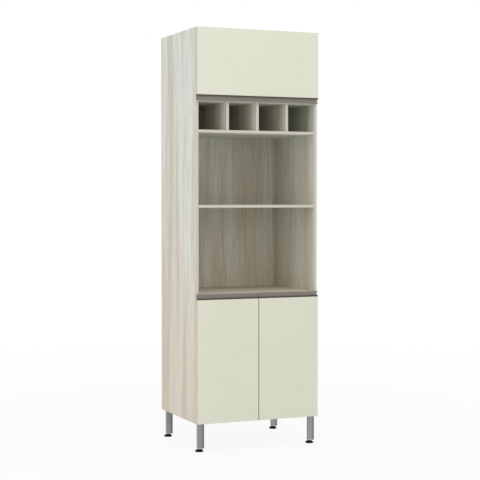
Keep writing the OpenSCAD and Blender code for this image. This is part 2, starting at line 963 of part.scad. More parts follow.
module strut_tube(side) {
    eye_bore_r = strut_pin_r + fit_gap;
    bore_start = strut_tube_start + strut_cap;
    bore_end = strut_tube_start + strut_tube_l - strut_cap;
    at_strut(side) difference() {
        union() {
            rotate([0, 90, 0]) cylinder(r = strut_eye_r, h = 2 * strut_eye_half_w, center = true);
            cylinder(r = strut_neck_r, h = strut_tube_start + 1);
            translate([0, 0, strut_tube_start]) cylinder(r = strut_tube_r, h = strut_tube_l);
        }
        rotate([0, 90, 0]) cylinder(r = eye_bore_r, h = 2 * strut_eye_half_w + 2, center = true);
        translate([0, 0, bore_start])
            cylinder(r = strut_tube_r - strut_tube_wall, h = bore_end - bore_start);
        translate([0, 0, bore_end - cut])
            cylinder(r = strut_rod_r + fit_gap, h = strut_cap + 2 * cut);
    }
}

module strut_rod(side) {
    at_strut(side) {
        translate([0, 0, strut_l]) rotate([0, 90, 0])
            cylinder(r = strut_eye_r, h = 2 * strut_eye_half_w, center = true);
        translate([0, 0, piston_start]) cylinder(r = strut_rod_r, h = strut_l - piston_start);
        translate([0, 0, piston_start])
            cylinder(r = strut_tube_r - strut_tube_wall - fit_gap, h = piston_h);
    }
}

module left_strut_tube() {
    color(black_color) strut_tube(-1);
}

module right_strut_tube() {
    color(black_color) strut_tube(1);
}

module left_strut_rod() {
    color(steel_color) strut_rod(-1);
}

module right_strut_rod() {
    color(steel_color) strut_rod(1);
}

left_side_panel();
right_side_panel();
top_panel();
bottom_panel();
upper_floor();
bottle_shelf();
bottle_divider(-1);  // left_bottle_divider
bottle_divider(0);  // middle_bottle_divider
bottle_divider(1);  // right_bottle_divider
middle_shelf();
oven_deck();
loose_shelf();
upper_back_panel();
niche_back_panel();
lower_back_panel();
rear_rail();
wall_plates();
cam_locks();
cam_bolts();
shelf_pegs();
door_bumpers();
carcass_screws();
back_panel_nails();
leg_plates();
leg_plugs();
placed_leg(-1, leg_front_y);  // front_left_leg
placed_leg(1, leg_front_y);  // front_right_leg
placed_leg(-1, leg_rear_y);  // rear_left_leg
placed_leg(1, leg_rear_y);  // rear_right_leg
foot_stud(-1, leg_front_y);  // front_left_stud
foot_stud(1, leg_front_y);  // front_right_stud
foot_stud(-1, leg_rear_y);  // rear_left_stud
foot_stud(1, leg_rear_y);  // rear_right_stud
foot(-1, leg_front_y);  // front_left_foot
foot(1, leg_front_y);  // front_right_foot
foot(-1, leg_rear_y);  // rear_left_foot
foot(1, leg_rear_y);  // rear_right_foot
hinge_arms();
strut_side_brackets();
flap_panel();
flap_handle();
flap_hinge_cups();
flap_strut_brackets();
flap_screws();
flap_hinge_links();
left_door_panel();
left_door_handle();
left_door_hinge_cups();
left_door_screws();
left_door_hinge_links();
right_door_panel();
right_door_handle();
right_door_hinge_cups();
right_door_screws();
right_door_hinge_links();
left_strut_tube();
right_strut_tube();
left_strut_rod();
right_strut_rod();
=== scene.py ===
import json
import math

import bmesh
import bpy
from bpy.props import FloatProperty, FloatVectorProperty, IntProperty, PointerProperty
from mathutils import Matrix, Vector

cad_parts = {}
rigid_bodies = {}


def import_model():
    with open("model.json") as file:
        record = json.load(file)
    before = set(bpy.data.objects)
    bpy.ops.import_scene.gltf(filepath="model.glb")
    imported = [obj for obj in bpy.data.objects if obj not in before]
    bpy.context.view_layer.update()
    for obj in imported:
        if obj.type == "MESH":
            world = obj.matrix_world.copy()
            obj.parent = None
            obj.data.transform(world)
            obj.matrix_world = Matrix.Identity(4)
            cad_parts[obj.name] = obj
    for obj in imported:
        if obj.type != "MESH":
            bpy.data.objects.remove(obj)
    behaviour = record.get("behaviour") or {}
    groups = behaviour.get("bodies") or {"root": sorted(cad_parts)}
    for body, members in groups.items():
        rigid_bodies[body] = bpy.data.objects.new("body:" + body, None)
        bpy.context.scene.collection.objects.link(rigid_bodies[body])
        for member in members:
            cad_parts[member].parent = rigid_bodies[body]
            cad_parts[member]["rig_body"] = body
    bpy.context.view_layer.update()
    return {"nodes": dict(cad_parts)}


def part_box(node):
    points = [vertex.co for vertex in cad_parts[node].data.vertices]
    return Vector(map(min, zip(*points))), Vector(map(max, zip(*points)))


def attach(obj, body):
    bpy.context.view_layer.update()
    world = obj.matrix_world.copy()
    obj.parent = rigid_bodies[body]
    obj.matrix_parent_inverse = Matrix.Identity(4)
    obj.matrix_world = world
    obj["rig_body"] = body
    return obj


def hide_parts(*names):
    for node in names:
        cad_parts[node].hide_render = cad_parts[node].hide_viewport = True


# A tall kitchen cabinet of melamine-faced board on four levelling legs, with
# cream doors, aluminium handle profiles, cup hinges and gas struts. Metres.

bl_info = {
    "name": "Tall Kitchen Cabinet",
    "version": (1, 0, 0),
    "blender": (4, 5, 0),
    "location": "3D View > Sidebar > Cabinet",
    "description": "Dresses a tall kitchen cabinet in its real finishes",
    "category": "Object",
}

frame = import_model()
MM = 0.001

SIDE_PANELS = ("left_side_panel", "right_side_panel")
BOTTLE_DIVIDERS = ("left_bottle_divider", "middle_bottle_divider", "right_bottle_divider")
LEVEL_BOARDS = (
    "top_panel", "bottom_panel", "upper_floor", "bottle_shelf", "middle_shelf",
    "oven_deck", "loose_shelf", "rear_rail",
)
BACK_SHEETS = ("upper_back_panel", "niche_back_panel", "lower_back_panel")
DOOR_PANELS = ("flap_panel", "left_door_panel", "right_door_panel")
HANDLES = ("flap_handle", "left_door_handle", "right_door_handle")
LEG_PLACES = ("front_left", "front_right", "rear_left", "rear_right")
PRESSED_STEEL = (
    "hinge_arms", "strut_side_brackets", "flap_strut_brackets", "wall_plates",
    "leg_plates", "flap_hinge_links", "left_door_hinge_links", "right_door_hinge_links",
    "flap_hinge_cups", "left_door_hinge_cups", "right_door_hinge_cups", "shelf_pegs",
)
FASTENERS = (
    "cam_locks", "cam_bolts", "carcass_screws", "back_panel_nails",
    "flap_screws", "left_door_screws", "right_door_screws",
)

# The axis that a print's grain or a profile's die lines run along
UPRIGHT, LEVEL = 2, 0

# The two values between which a noise pattern nearly always stays
SWING = (0.3, 0.7)

# Waves in which the print's streaks wander sideways. Their noise swings by less
# than a quarter each way, so this reach moves a streak by up to about 9 mm
WAVE_WIDTH, WAVE_LENGTH = 0.3, 0.55
WAVE_REACH = 36 * MM

# Lengths of the print's bands and of its fine grain, as shares of a streak's
BAND_STRETCH = 2.5
GRAIN_STRETCH = 0.2
GRAIN_WIDTH = 6 * MM

# How much beige and brown the print takes: two values of a layer's pattern, and the
# amount at each, under the numbers of a map range node's inputs
BEIGE_AMOUNT = {1: 0.36, 2: 0.56, 3: 0.8, 4: 0.0}
BROWN_AMOUNT = {1: 0.5, 2: 0.75, 3: 0.0, 4: 0.6}

# The print's ground goes from cream to bluish between two heights, and the bottle
# dividers are cut from a warmer stretch of it
GROUND_HEIGHTS, GROUND_COOLNESS = (0.5, 2.1), (-0.35, 0.65)
DIVIDERS_WARMER = 0.5

# How far a face has to look forwards or backwards to take a finish of its own
FACING = 0.5
FACING_LOOSELY = 0.3
FACING_SQUARELY = 0.95

# Vertices closer than this are one, and faces flatter than this are one
WELD = 0.01 * MM
FLAT_DEGREES = 0.5

# Handle profiles: the tongue in the panel's edge, and how deep the painted shadow strip goes
TONGUE_LENGTH = 8 * MM
STRIP_DEPTH = 2 * MM

# Moulded profile of a levelling foot, in millimetres, from the floor up: how far in
# from the rim at which height, then radii at heights, then radii below the neck's top
FOOT_RIM = (
    (1.6, 0.0), (0.7, 0.3), (0.1, 1.1), (0.0, 1.8),
    (0.0, 4.9), (0.2, 5.7), (0.9, 6.3), (2.0, 6.7),
)
FOOT_DOME = ((15.5, 10.2), (12.8, 12.2), (11.6, 13.2))
FOOT_NECK = ((10.9, 0.2), (10.5, 0.0))
FOOT_STEPS = 144
FLUTED_RIM = 0.5 * MM
STUD_CLEARANCE = 0.05 * MM

# Metric thread, as shares of its pitch: its depth, the flat of its crest and its start
THREAD_DEPTH = 0.61
THREAD_CREST = (0.42, 0.55)
THREAD_START = 0.1
THREAD_STEPS = 24

# Soft bumpers: the upright part of the wall, as a share of the thickness
BUMPER_WALL = 0.15
BUMPER_STEPS = 32
DOME_STEPS = 8

# Lamps: name, setting of the power, place, width and height
LAMPS = (
    ("tall_key_lamp", "key_power", (-2.9, -1.45, 1.3), 1.0, 2.6),
    ("top_lamp", "top_power", (-0.4, -1.8, 4.2), 2.0, 1.0),
)
LAMPS_LOOK_AT = Vector((0, 0, 1.2))

# The floor reaches this far each way, and fades to white between two distances
FLOOR_REACH = 12.0
FLOOR_FADE = (1.0, 5.0)


# Colours and nodes

def linear(hex_colour):
    """Turns an sRGB hex colour into linear red, green, blue and alpha."""
    parts = [int(hex_colour[i:i + 2], 16) / 255 for i in (1, 3, 5)]
    return [c / 12.92 if c <= 0.04045 else ((c + 0.055) / 1.055) ** 2.4 for c in parts] + [1.0]


def colour_prop(name, description, hex_colour):
    """A colour that the user can change, with its default as an sRGB hex value."""
    return FloatVectorProperty(
        name=name, description=description, subtype="COLOR", size=4,
        min=0.0, max=1.0, default=linear(hex_colour))


def length_prop(name, description, millimetres, low, high):
    """A length that the user can change, given in millimetres and kept in metres."""
    return FloatProperty(
        name=name, description=description, unit="LENGTH", subtype="DISTANCE",
        default=millimetres * MM, min=low * MM, max=high * MM)


def add(tree, kind, links=None, **settings):
    """Adds a node with its settings and its links or input values."""
    made = tree.nodes.new(kind)
    for name, value in settings.items():
        setattr(made, name, value)
    for key, value in (links or {}).items():
        if isinstance(value, bpy.types.NodeSocket):
            tree.links.new(value, made.inputs[key])
        else:
            made.inputs[key].default_value = value
    return made


def seen_rays(tree):
    """1 for what the camera, a reflection or clear plastic sees, and 0 for plain light."""
    path = add(tree, "ShaderNodeLightPath")
    seen = path.outputs["Is Camera Ray"]
    for other in ("Is Glossy Ray", "Is Transmission Ray"):
        seen = add(tree, "ShaderNodeMath", {0: seen, 1: path.outputs[other]},
                   operation="MAXIMUM").outputs[0]
    return seen


def material_of(name, **shader_values):
    """A new material, its tree, its shader with values set, and the place on the object."""
    made = bpy.data.materials.new(name)
    made.use_nodes = True
    tree = made.node_tree
    shader = tree.nodes["Principled BSDF"]
    for key, value in shader_values.items():
        shader.inputs[key.replace("_", " ")].default_value = value
    return made, tree, shader, add(tree, "ShaderNodeTexCoord").outputs["Object"]


def grain_scale(grain_axis, across, along):
    """Pattern repeats per metre on each axis, for streaks that run along one axis."""
    return [1 / along if axis == grain_axis else 1 / across for axis in range(3)]


def vary(tree, shader, pattern, colour=None, shade=None, gloss=None, relief=None, swing=SWING):
    """Lets a pattern shade a surface's colour, change its roughness and emboss it.

    shade and gloss are the results at the two ends of the pattern's swing, and
    relief is how strongly and how deep the pattern is embossed."""
    ends = {0: pattern, 1: swing[0], 2: swing[1]}
    if shade:
        level = add(tree, "ShaderNodeMapRange", {**ends, 3: shade[0], 4: shade[1]})
        shaded = add(tree, "ShaderNodeVectorMath", {0: colour, 3: level.outputs[0]},
                     operation="SCALE")
        tree.links.new(shaded.outputs[0], shader.inputs["Base Color"])
    if gloss:
        roughness = add(tree, "ShaderNodeMapRange", {**ends, 3: gloss[0], 4: gloss[1]})
        tree.links.new(roughness.outputs[0], shader.inputs["Roughness"])
    if relief:
        bump = add(tree, "ShaderNodeBump",
                   {"Height": pattern, "Strength": relief[0], "Distance": relief[1]})
        tree.links.new(bump.outputs[0], shader.inputs["Normal"])


# Meshes

def new_piece(name, build):
    """A new object whose mesh the build function fills."""
    mesh = bpy.data.meshes.new(name)
    made = bpy.data.objects.new(name, mesh)
    bpy.context.scene.collection.objects.link(made)
    shape = bmesh.new()
    build(shape)
    bmesh.ops.recalc_face_normals(shape, faces=shape.faces)
    shape.to_mesh(mesh)
    shape.free()
    return made


def smooth(piece, sharp_degrees):
    """Shades smoothly below an angle, and keeps the broad faces flat."""
    mesh = piece.data
    mesh.shade_smooth()
    mesh.set_sharp_from_angle(angle=math.radians(sharp_degrees))
    weighted = piece.modifiers.new("flat faces", "WEIGHTED_NORMAL")
    weighted.keep_sharp = True


def settle(piece, node):
    """Puts a piece in a CAD node's place: same body."""
    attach(piece, frame["nodes"][node]["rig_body"])
    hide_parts(node)


def rounded_copy(node, materials, radius, shortest=0.0, pick=None, turn=40.0, cut_z=None):
    """A copy of a CAD node with its edges rounded, which then stands for the node.

    Edges up to the length shortest, or that turn by less than turn degrees, stay
    sharp. pick gives a face's material number from its normal and its centre,
    after the faces are split at height cut_z."""
    def build(shape):
        shape.from_mesh(frame["nodes"][node].data)
        bmesh.ops.remove_doubles(shape, verts=shape.verts, dist=WELD)
        bmesh.ops.dissolve_limit(
            shape, angle_limit=math.radians(FLAT_DEGREES), verts=shape.verts, edges=shape.edges)
        edges = [
            e for e in shape.edges
            if e.is_convex and e.calc_length() > shortest
            and e.calc_face_angle(0.0) > math.radians(turn)
        ]
        bmesh.ops.bevel(
            shape, geom=edges, offset=radius, segments=2, profile=0.5,
            affect="EDGES", clamp_overlap=True)
        if cut_z is not None:
            bmesh.ops.bisect_plane(
                shape, geom=[*shape.verts, *shape.edges, *shape.faces],
                plane_co=(0, 0, cut_z), plane_no=(0, 0, 1))
        if pick:
            shape.normal_update()
            for face in shape.faces:
                face.material_index = pick(face.normal, face.calc_center_median())

    piece = new_piece(node + "_finished", build)
    for made in materials:
        piece.data.materials.append(made)
    smooth(piece, sharp_degrees=50)
    settle(piece, node)


def paint(node, made):
    """Gives a CAD node that stays as it is a better material."""
    for place in frame["nodes"][node].material_slots:
        place.material = made


def solid_boxes(node):
    """The lowest and highest corner of each separate solid of a CAD node."""
    shape = bmesh.new()
    shape.from_mesh(frame["nodes"][node].data)
    bmesh.ops.remove_doubles(shape, verts=shape.verts, dist=WELD)
    left = set(shape.verts)
    boxes = []
    while left:
        group = [left.pop()]
        for vertex in group:
            for edge in vertex.link_edges:
                other = edge.other_vert(vertex)
                if other in left:
                    left.remove(other)
                    group.append(other)
        low = Vector([min(v.co[i] for v in group) for i in range(3)])
        high = Vector([max(v.co[i] for v in group) for i in range(3)])
        boxes.append((low, high))
    shape.free()
    return sorted(boxes, key=lambda pair: tuple(pair[0]))


def turned(shape, outline, origin, axis, steps, flutes=0, flute_depth=0.0, flute_from=0.0):
    """Adds a turned body: outline is (radius, height) pairs from axis to axis.

    Rings wider than flute_from are fluted."""
    across = Vector((1, 0, 0))
    if abs(axis.dot(across)) > 0.9:
        across = Vector((0, 0, 1))
    second = axis.cross(across)
    rings = []
    for radius, height in outline:
        if radius == 0:
            rings.append([shape.verts.new(origin + axis * height)])
            continue
        ring = []
        for i in range(steps):
            turn = 2 * math.pi * i / steps
            reach = radius
            if flutes and radius > flute_from:
                reach -= flute_depth * (0.5 - 0.5 * math.cos(turn * flutes))
            spot = across * (reach * math.cos(turn)) + second * (reach * math.sin(turn))
            ring.append(shape.verts.new(origin + axis * height + spot))
        rings.append(ring)
    for lower, upper in zip(rings, rings[1:]):
        for i in range(steps):
            j = (i + 1) % steps
            if len(lower) == 1:
                shape.faces.new((lower[0], upper[i], upper[j]))
            elif len(upper) == 1:
                shape.faces.new((lower[i], lower[j], upper[0]))
            else:
                shape.faces.new((lower[i], lower[j], upper[j], upper[i]))


def cut_thread(shape, low, high, pitch):
    """Adds a closed helical thread that fills the box from low to high."""
    crest = (high.x - low.x) / 2
    root = crest - THREAD_DEPTH * pitch
    centre = Vector(((low.x + high.x) / 2, (low.y + high.y) / 2, 0))
    count = (int((high.z - low.z) / pitch) - 1) * THREAD_STEPS
    start = low.z + THREAD_START * pitch
    places = ((root, 0.0), (crest, THREAD_CREST[0]), (crest, THREAD_CREST[1]))
    columns = []
    for i in range(count + THREAD_STEPS + 1):
        turn = 2 * math.pi * i / THREAD_STEPS
        spots = []
        for radius, share in places[:1] if i > count else places:
            height = start + pitch * (i / THREAD_STEPS + share)
            across = Vector((radius * math.cos(turn), radius * math.sin(turn), height))
            spots.append(shape.verts.new(centre + across))
        columns.append(spots)
    for i in range(count):
        here, there = columns[i], columns[i + 1]
        here = here + [columns[i + THREAD_STEPS][0]]
        there = there + [columns[i + 1 + THREAD_STEPS][0]]
        for j in range(3):
            shape.faces.new((here[j], there[j], there[j + 1], here[j + 1]))
    # Each end is closed by a fan round a tip, with a step where the thread runs out
    for rim, first, end_z in (
            (columns[:THREAD_STEPS + 1], columns[0], low.z),
            (columns[count:], columns[count], high.z)):
        tip = shape.verts.new(centre + Vector((0, 0, end_z)))
        loop = [spots[0] for spots in rim]
        step = [loop[-1], first[2], first[1], first[0]]
        for path in (loop, step):
            for one, two in zip(path, path[1:]):
                shape.faces.new((one, two, tip))


# What the user can change

class BoardSettings(bpy.types.PropertyGroup):
    """Melamine-faced carcass boards and back sheets."""

    edge_radius: length_prop("Edge radius", "Rounding of the boards' banded edges", 0.7, 0.1, 2)
    band_width: length_prop("Band width", "Width of the print's broad bands", 95, 20, 300)
    streak_width: length_prop("Streak width", "Width of the print's streaks", 11, 3, 60)
    streak_length: length_prop("Streak length", "Length of the print's streaks", 600, 100, 3000)
    figure_start: FloatVectorProperty(
        name="Figure start", description="Where on the endless print the boards are cut",
        subtype="TRANSLATION", unit="LENGTH", default=(7.18, 1.15, 15.66))
    pale: colour_prop("Pale", "Bluish-white ground of the print", "#DEE5DD")
    cream: colour_prop("Cream", "Warm ground of the print", "#E0D5C3")
    beige: colour_prop("Beige", "Beige bands of the print", "#CDC3AF")
    brown: colour_prop("Brown", "Brown streaks of the print", "#B1A48C")
    edge: colour_prop("Edge band", "Edge band on the boards' front edges", "#D2CEBF")
    raw: colour_prop("Raw back", "Raw rear face of the back sheets", "#A98660")


class DoorSettings(bpy.types.PropertyGroup):
    """Cream doors and flap."""

    edge_radius: length_prop("Edge radius", "Rounding of the doors' banded edges", 0.9, 0.1, 2)
    peel_size: length_prop("Peel size", "Grain of the pressed surface", 1.6, 0.2, 5)
    face: colour_prop("Face", "Cream of the doors' faces", "#E7E7D4")
    edge: colour_prop("Edge", "Edge band of the doors", "#CFD0BE")


class MetalSettings(bpy.types.PropertyGroup):
    """Handles, legs, hinges, struts and fastenings."""

    profile_radius: length_prop(
        "Profile radius", "Rounding of the aluminium's edges", 0.4, 0.1, 1)
    steel_radius: length_prop(
        "Steel radius", "Rounding of the pressed steel's edges", 0.25, 0.05, 1)
    brush_pitch: length_prop(
        "Brush pitch", "Distance of the drawing lines on the aluminium", 1.2, 0.2, 4)
    # The handles' dark strip is painted shadow: a darker aluminium colour where the groove
    # beside each panel lies in shade
    strip_height: length_prop("Strip height", "Height of the handles' dark strip", 7.4, 1, 9)
    aluminium: colour_prop("Aluminium", "Satin anodised handles", "#938C85")
    shadow_line: colour_prop(
        "Shadow line", "Dark strip of the handles beside the panels", "#57524A")
    leg: colour_prop("Legs", "Satin anodised legs", "#9E9E9E")
    # The fins' darker colour is painted shade, for the shade that falls on the fins
    painted_fin_shade: colour_prop("Fins", "Fins of the legs, darkened by painted shade", "#858584")
    steel: colour_prop("Steel", "Nickel-plated steel", "#BDBBB6")
    tube: colour_prop("Strut tube", "Black enamel of the gas struts", "#1B1B1C")


class FootSettings(bpy.types.PropertyGroup):
    """Levelling feet, plugs and bumpers."""

    pitch: length_prop("Thread pitch", "Pitch of the stud's thread", 1.25, 0.8, 2)
    flute_depth: length_prop(
        "Flute depth", "Depth of the grip flutes on the foot's rim", 0.5, 0, 1.5)
    flutes: IntProperty(
        name="Flutes", description="Number of grip flutes round a foot",
        default=36, min=0, max=90)
    foot: colour_prop("Foot", "Black moulded plastic", "#0D0D0E")
    collar: colour_prop("Collar", "Pale grey moulded plastic of the legs' plugs", "#DADADA")
    bumper: colour_prop("Bumper", "Clear soft vinyl", "#DCDFDD")


class StageSettings(bpy.types.PropertyGroup):
    """Camera, lamps, world and floor."""

    lens: FloatProperty(
        name="Lens", description="Focal length on a 36 mm wide sensor", unit="CAMERA",
        default=97.22, min=20, max=300)
    tilt: FloatProperty(
        name="Tilt", description="Camera's tilt from straight down", subtype="ANGLE",
        default=math.radians(88.21))
    heading: FloatProperty(
        name="Heading", description="Camera's turn about the vertical", subtype="ANGLE",
        default=math.radians(-23.06))
    spot: FloatVectorProperty(
        name="Camera", description="Camera's place", subtype="TRANSLATION", unit="LENGTH",
        default=(-2.780, -6.553, 1.325))
    key_power: FloatProperty(
        name="Key lamp", description="Power of the tall soft lamp at the front left",
        unit="POWER", default=12, min=0)
    top_power: FloatProperty(
        name="Top lamp", description="Power of the soft lamp high above the front",
        unit="POWER", default=14, min=0)
    world_level: FloatProperty(
        name="World level", description="Brightness of the room around",
        default=0.87, min=0, max=2)
    floor_glow: FloatProperty(
        name="Floor paleness",
        description="How far the floor is lifted to white for the camera",
        subtype="FACTOR", default=0.9, min=0, max=1)


# Finishes

def printed_board(name, grain_axis, look, warmer=0.0, press_depth=0.03 * MM):
    """Melamine paper on board, with a printed pale wood figure, pressed matt.

    The print has a ground from cream to bluish white, broad beige bands, thin
    brown streaks and a fine grain that runs along the board. warmer takes blue
    out of the ground."""
    made, tree, shader, spot = material_of(name)
    cut = add(tree, "ShaderNodeVectorMath", {0: spot, 1: look.figure_start[:]}).outputs[0]
    slow = add(tree, "ShaderNodeVectorMath",
               {0: cut, 1: grain_scale(grain_axis, WAVE_WIDTH, WAVE_LENGTH)},
               operation="MULTIPLY")
    wave = add(tree, "ShaderNodeTexNoise",
               {"Vector": slow.outputs[0], "Scale": 1.0, "Detail": 1.0})
    centred = add(tree, "ShaderNodeVectorMath",
                  {0: wave.outputs["Color"], 1: (0.5, 0.5, 0.5)}, operation="SUBTRACT")
    moved = add(tree, "ShaderNodeVectorMath",
                {0: centred.outputs[0], 1: (WAVE_REACH, WAVE_REACH, WAVE_REACH), 2: cut},
                operation="MULTIPLY_ADD")
    layers = []
    for across, along, detail in (
            (look.band_width, look.streak_length * BAND_STRETCH, 1.5),
            (look.streak_width, look.streak_length, 2.0),
            (GRAIN_WIDTH, look.streak_length * GRAIN_STRETCH, 2.0)):
        at = add(tree, "ShaderNodeVectorMath",
                 {0: moved.outputs[0], 1: grain_scale(grain_axis, across, along)},
                 operation="MULTIPLY")
        layers.append(add(tree, "ShaderNodeTexNoise", {
            "Vector": at.outputs[0], "Scale": 1.0, "Detail": detail}).outputs["Fac"])
    broad, streak, fine = layers
    # The ground turns from warm at the cabinet's foot to bluish at its head
    height = add(tree, "ShaderNodeSeparateXYZ", {0: spot})
    head = add(tree, "ShaderNodeMapRange", {
        0: height.outputs[2], 1: GROUND_HEIGHTS[0], 2: GROUND_HEIGHTS[1],
        3: GROUND_COOLNESS[0] - warmer, 4: GROUND_COOLNESS[1] - warmer})
    coolness = add(tree, "ShaderNodeMath",
                   {0: wave.outputs["Fac"], 1: head.outputs[0]}, operation="ADD")
    bands = add(tree, "ShaderNodeMapRange", {0: broad, **BEIGE_AMOUNT})
    streaks = add(tree, "ShaderNodeMapRange", {0: streak, **BROWN_AMOUNT})
    colour = look.cream[:]
    for amount, ink in ((coolness, look.pale), (bands, look.beige), (streaks, look.brown)):
        colour = add(tree, "ShaderNodeMix", {0: amount.outputs[0], 6: colour, 7: ink[:]},
                     data_type="RGBA").outputs[2]
    vary(tree, shader, fine, colour, shade=(0.9, 1.08), gloss=(0.46, 0.56),
         relief=(0.35, press_depth))
    return made


def edge_band(name, colour, roughness=0.42):
    """ABS edge band, glued on and scraped: a plain strip with faint ripples."""
    made, tree, shader, spot = material_of(name, Roughness=roughness)
    ripple = add(tree, "ShaderNodeTexNoise",
                 {"Vector": spot, "Scale": 1 / (9 * MM), "Detail": 1.0})
    vary(tree, shader, ripple.outputs["Fac"], colour[:3], shade=(0.97, 1.02),
         relief=(0.2, 0.05 * MM))
    return made


def raw_hardboard(name, look):
    """Raw rear face of hardboard, pressed on a wire screen: brown with a fibre fleck.

    The screen's mesh of under 1 mm is drawn at 3 mm, so that it can show."""
    made, tree, shader, spot = material_of(name, Roughness=0.8)
    fleck = add(tree, "ShaderNodeTexNoise",
                {"Vector": spot, "Scale": 1 / (6 * MM), "Detail": 4.0})
    cloud = add(tree, "ShaderNodeTexNoise",
                {"Vector": spot, "Scale": 1 / (250 * MM), "Detail": 2.0})
    both = add(tree, "ShaderNodeMath",
               {0: fleck.outputs["Fac"], 1: cloud.outputs["Fac"]}, operation="ADD")
    vary(tree, shader, both.outputs[0], look.raw[:3], shade=(0.8, 1.15), swing=(0.7, 1.3))
    screen = add(tree, "ShaderNodeTexVoronoi",
                 {"Vector": spot, "Scale": 1 / (3 * MM), "Randomness": 0.15})
    vary(tree, shader, screen.outputs["Distance"], relief=(0.4, 0.15 * MM))
    return made


def cream_melamine(name, look):
    """Cream melamine paper pressed with a fine peel: an even satin face.

    A very weak cloud and a shallow peel keep it from looking like flat paint."""
    made, tree, shader, spot = material_of(name)
    cloud = add(tree, "ShaderNodeTexNoise",
                {"Vector": spot, "Scale": 1 / (200 * MM), "Detail": 2.0})
    vary(tree, shader, cloud.outputs["Fac"], look.face[:3], shade=(0.985, 1.01))
    peel = add(tree, "ShaderNodeTexNoise",
               {"Vector": spot, "Scale": 1 / look.peel_size, "Detail": 2.0})
    vary(tree, shader, peel.outputs["Fac"], gloss=(0.36, 0.44), relief=(0.25, 0.03 * MM))
    return made


def drawn_aluminium(name, colour, line_axis, look, roughness=0.42):
    """Extruded aluminium, satin anodised: fine die lines along the profile.

    Die lines of under 0.3 mm are drawn at the brush pitch, so that they show."""
    made, tree, shader, spot = material_of(name, Metallic=1.0)
    at = add(tree, "ShaderNodeVectorMath",
             {0: spot, 1: grain_scale(line_axis, look.brush_pitch, 400 * MM)},
             operation="MULTIPLY")
    lines = add(tree, "ShaderNodeTexNoise",
                {"Vector": at.outputs[0], "Scale": 1.0, "Detail": 2.0})
    vary(tree, shader, lines.outputs["Fac"], colour[:3], shade=(0.93, 1.06),
         gloss=(roughness - 0.05, roughness + 0.07), relief=(0.3, 0.03 * MM))
    return made


def plated_steel(name, colour):
    """Nickel-plated pressed steel: bright, with a faint mottle from the plating bath."""
    made, tree, shader, spot = material_of(name, Metallic=1.0)
    mottle = add(tree, "ShaderNodeTexNoise",
                 {"Vector": spot, "Scale": 1 / (5 * MM), "Detail": 3.0})
    vary(tree, shader, mottle.outputs["Fac"], colour[:3], shade=(0.9, 1.05),
         gloss=(0.24, 0.38))
    return made


def moulded_plastic(name, colour, roughness, pebble_size=0.8 * MM, specular=0.5):
    """Injection-moulded plastic from a spark-eroded mould: matt with a fine pebble."""
    made, tree, shader, spot = material_of(
        name, Roughness=roughness, Specular_IOR_Level=specular)
    pebble = add(tree, "ShaderNodeTexNoise",
                 {"Vector": spot, "Scale": 1 / pebble_size, "Detail": 2.0})
    vary(tree, shader, pebble.outputs["Fac"], colour[:3], shade=(0.9, 1.1),
         relief=(0.4, 0.05 * MM))
    return made


def soft_vinyl(name, colour):
    """Clear soft vinyl, cast in a drop: glossy, with a faint haze."""
    made, tree, shader, spot = material_of(name, Roughness=0.25)
    haze = add(tree, "ShaderNodeTexNoise", {"Vector": spot, "Scale": 1 / (3 * MM)})
    vary(tree, shader, haze.outputs["Fac"], colour[:3], shade=(0.94, 1.0))
    return made


# Pieces

class CABINET_OT_boards(bpy.types.Operator):
    """Face the carcass boards with the wood print and band their front edges"""

    bl_idname = "cabinet.boards"
    bl_label = "Carcass boards"

    def execute(self, context):
        look = context.scene.cabinet_boards
        band = edge_band("abs_edge_band", look.edge)
        upright = printed_board("melamine_wood_print_upright", UPRIGHT, look)
        divider = printed_board(
            "melamine_wood_print_divider", UPRIGHT, look, warmer=DIVIDERS_WARMER)
        level = printed_board("melamine_wood_print_level", LEVEL, look)

        def front_edge(normal, centre):
            return 1 if normal.y < -FACING else 0

        for nodes, printed in (
                (SIDE_PANELS, upright), (BOTTLE_DIVIDERS, divider), (LEVEL_BOARDS, level)):
            for node in nodes:
                rounded_copy(node, [printed, band], look.edge_radius,
                             shortest=4 * MM, pick=front_edge)
        return {"FINISHED"}


class CABINET_OT_back_sheets(bpy.types.Operator):
    """Print the back sheets inside and leave them raw behind"""

    bl_idname = "cabinet.back_sheets"
    bl_label = "Back sheets"

    def execute(self, context):
        look = context.scene.cabinet_boards
        inside = printed_board("hardboard_wood_print", UPRIGHT, look, press_depth=0.02 * MM)
        behind = raw_hardboard("raw_hardboard", look)

        def rear_face(normal, centre):
            return 1 if normal.y > FACING else 0

        for node in BACK_SHEETS:
            rounded_copy(node, [inside, behind], radius=0.3 * MM,
                         shortest=4 * MM, pick=rear_face)
        return {"FINISHED"}


class CABINET_OT_doors(bpy.types.Operator):
    """Face the doors and the flap in cream and band their edges"""

    bl_idname = "cabinet.doors"
    bl_label = "Doors and flap"

    def execute(self, context):
        look = context.scene.cabinet_doors
        face = cream_melamine("cream_melamine", look)
        band = edge_band("cream_edge_band", look.edge, roughness=0.35)

        def banded(normal, centre):
            return 0 if abs(normal.y) > FACING_SQUARELY else 1

        for node in DOOR_PANELS:
            rounded_copy(node, [face, band], look.edge_radius, shortest=20 * MM, pick=banded)
        return {"FINISHED"}


